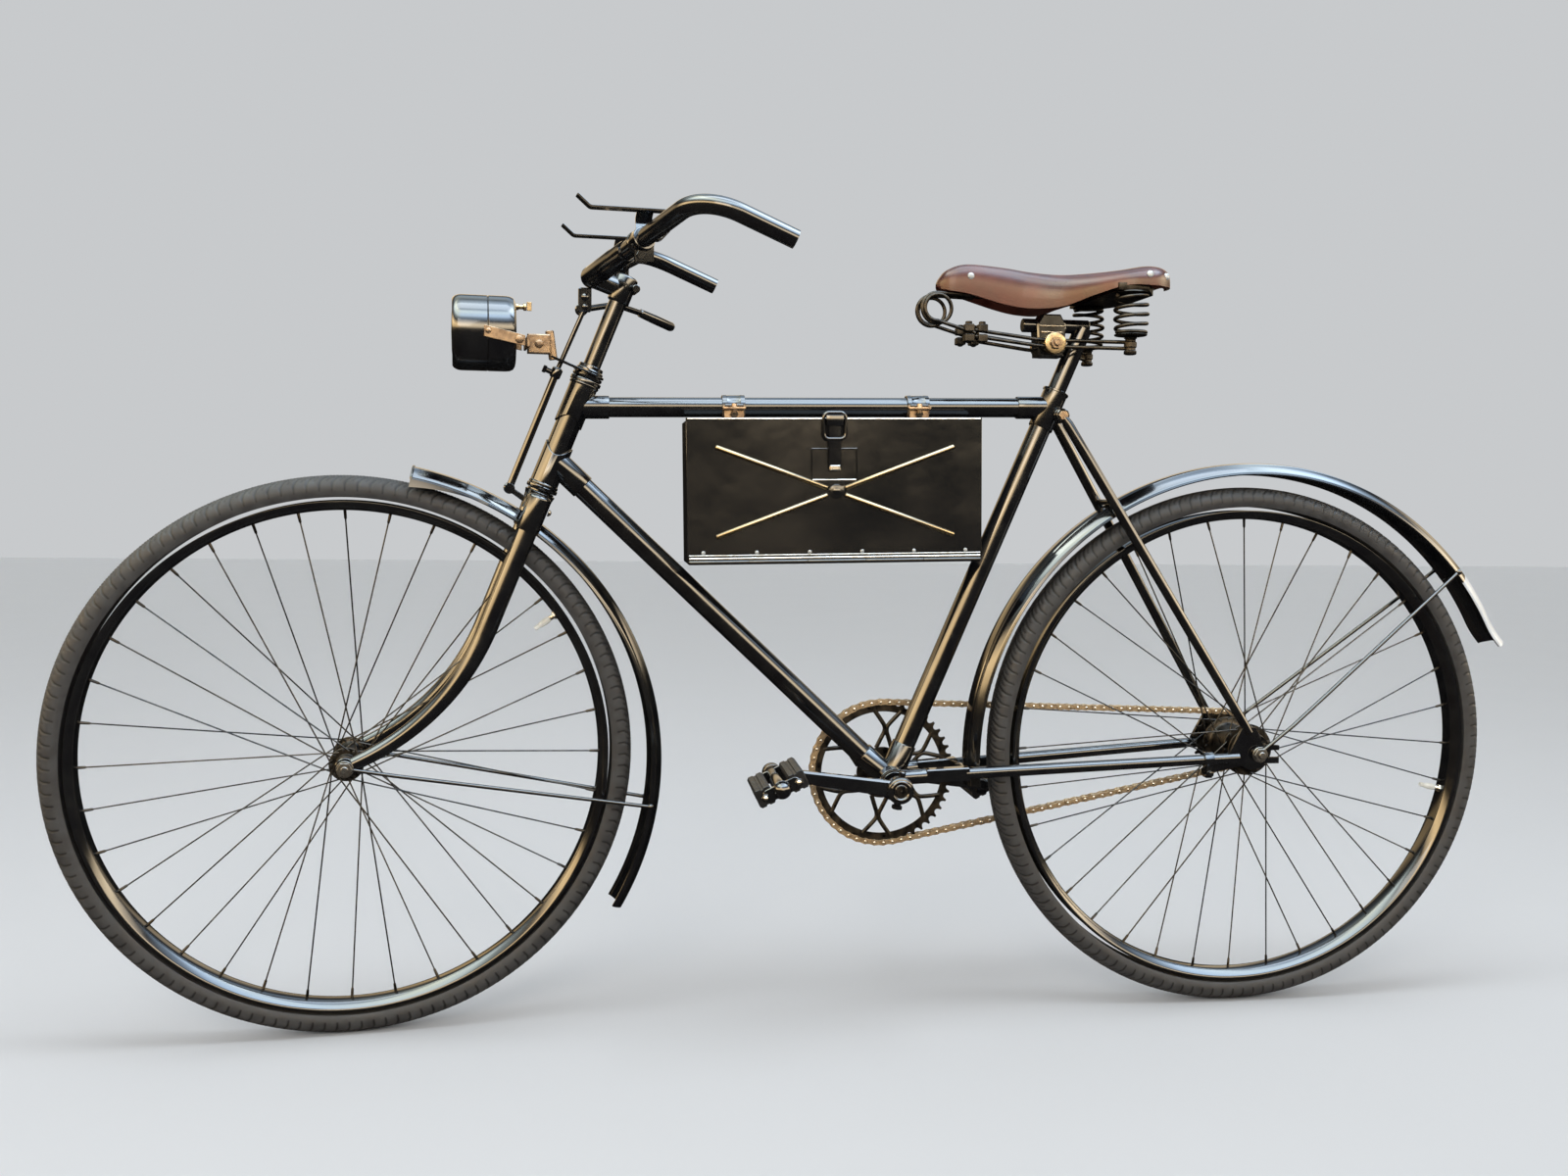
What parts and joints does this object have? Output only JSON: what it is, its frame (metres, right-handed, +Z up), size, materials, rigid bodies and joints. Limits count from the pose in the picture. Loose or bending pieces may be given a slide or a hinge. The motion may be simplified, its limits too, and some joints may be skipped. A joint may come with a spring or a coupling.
{
  "type": "military bicycle",
  "caption": "Army roadster with a sprung leather saddle, full guards, a drum headlamp and a hinged steel case under the top tube.",
  "frame": {"origin": "top of the saddle where the rider sits, on the bicycle's middle plane", "axes": "+X forward, +Y to the rider's left, +Z up; both wheels stand on the plane 0.984 m below the origin"},
  "size_m": [1.9187, 0.5233, 1.0501],
  "materials": {
    "black_enamel": "gloss",
    "white_paint": "gloss",
    "tyre": "matte",
    "rubber": "matte",
    "leather": "satin",
    "glass": "gloss",
    "bulb_glass": "gloss",
    "dark_steel": "satin",
    "bare_steel": "satin",
    "tan_steel": "matte"
  },
  "bodies": {
    "frame": {"head_tube": "black_enamel", "bracket_shell": "black_enamel", "seat_lug": "black_enamel", "top_tube": "black_enamel", "down_tube": "black_enamel", "seat_tube": "black_enamel", "chain_stays": "black_enamel", "seat_stays": "black_enamel", "rear_ends": "black_enamel", "seat_pillar": "black_enamel", "saddle_clamp": "black_enamel", "saddle_frame": "dark_steel", "saddle_coils": "dark_steel", "saddle_cantle": "dark_steel", "saddle_leather": "leather", "rear_guard": "black_enamel", "rear_guard_tail": "white_paint", "rear_guard_stays": "black_enamel", "rear_axle": "bare_steel", "brake_arm": "black_enamel", "chain": "tan_steel", "case_body": "black_enamel", "case_clamps": "tan_steel", "stay_bridges": "black_enamel"},
    "fork": {"fork_crown": "black_enamel", "fork_blades": "black_enamel", "steerer": "black_enamel", "handlebar": "black_enamel", "stem": "black_enamel", "bar_rests": "dark_steel", "brake_lever": "black_enamel", "brake_rod": "black_enamel", "lamp_shell": "black_enamel", "lamp_lens": "glass", "lamp_bulb": "bulb_glass", "lamp_bracket": "tan_steel", "front_guard": "black_enamel", "front_guard_stays": "black_enamel", "front_axle": "bare_steel"},
    "front_wheel": {"front_tyre": "tyre", "front_rim": "black_enamel", "front_hub": "bare_steel"},
    "rear_wheel": {"rear_tyre": "tyre", "rear_rim": "black_enamel", "rear_hub": "bare_steel"},
    "cranks": {"chainwheel": "black_enamel", "spindle": "bare_steel", "crank_left": "black_enamel", "crank_right": "black_enamel"},
    "pedal_left": {"pedal_frame_left": "dark_steel", "pedal_blocks_left": "rubber"},
    "pedal_right": {"pedal_frame_right": "dark_steel", "pedal_blocks_right": "rubber"},
    "case_door": {"case_door": "black_enamel", "case_latch": "bare_steel"}
  },
  "joints": [
    {"name": "steering", "type": "hinge", "parent": "frame", "child": "fork", "pos_m": [0.68377, 0, -0.21829], "axis": [-0.3714, 0, 0.9285], "range_deg": [-66.2, 53.8]},
    {"name": "front_wheel_spin", "type": "hinge", "parent": "fork", "child": "front_wheel", "pos_m": [0.95018, 0.01031, -0.62871], "axis": [-0.1003, 0.9942, -0.0401], "continuous": true},
    {"name": "rear_wheel_spin", "type": "hinge", "parent": "frame", "child": "rear_wheel", "pos_m": [-0.235, 0, -0.6285], "axis": [0, 1, 0], "continuous": true},
    {"name": "crank_spin", "type": "hinge", "parent": "frame", "child": "cranks", "pos_m": [0.2543, 0, -0.6683], "axis": [0, 1, 0], "continuous": true},
    {"name": "left_pedal_spin", "type": "hinge", "parent": "cranks", "child": "pedal_left", "pos_m": [0.42045, 0.121, -0.64347], "axis": [0, 1, 0], "continuous": true},
    {"name": "right_pedal_spin", "type": "hinge", "parent": "cranks", "child": "pedal_right", "pos_m": [0.08815, -0.121, -0.69313], "axis": [0, 1, 0], "continuous": true},
    {"name": "case_door_hinge", "type": "hinge", "parent": "frame", "child": "case_door", "pos_m": [0.33955, 0.057, -0.37392], "axis": [-0.9998, 0, 0.02], "range_deg": [0, 90]}
  ]
}
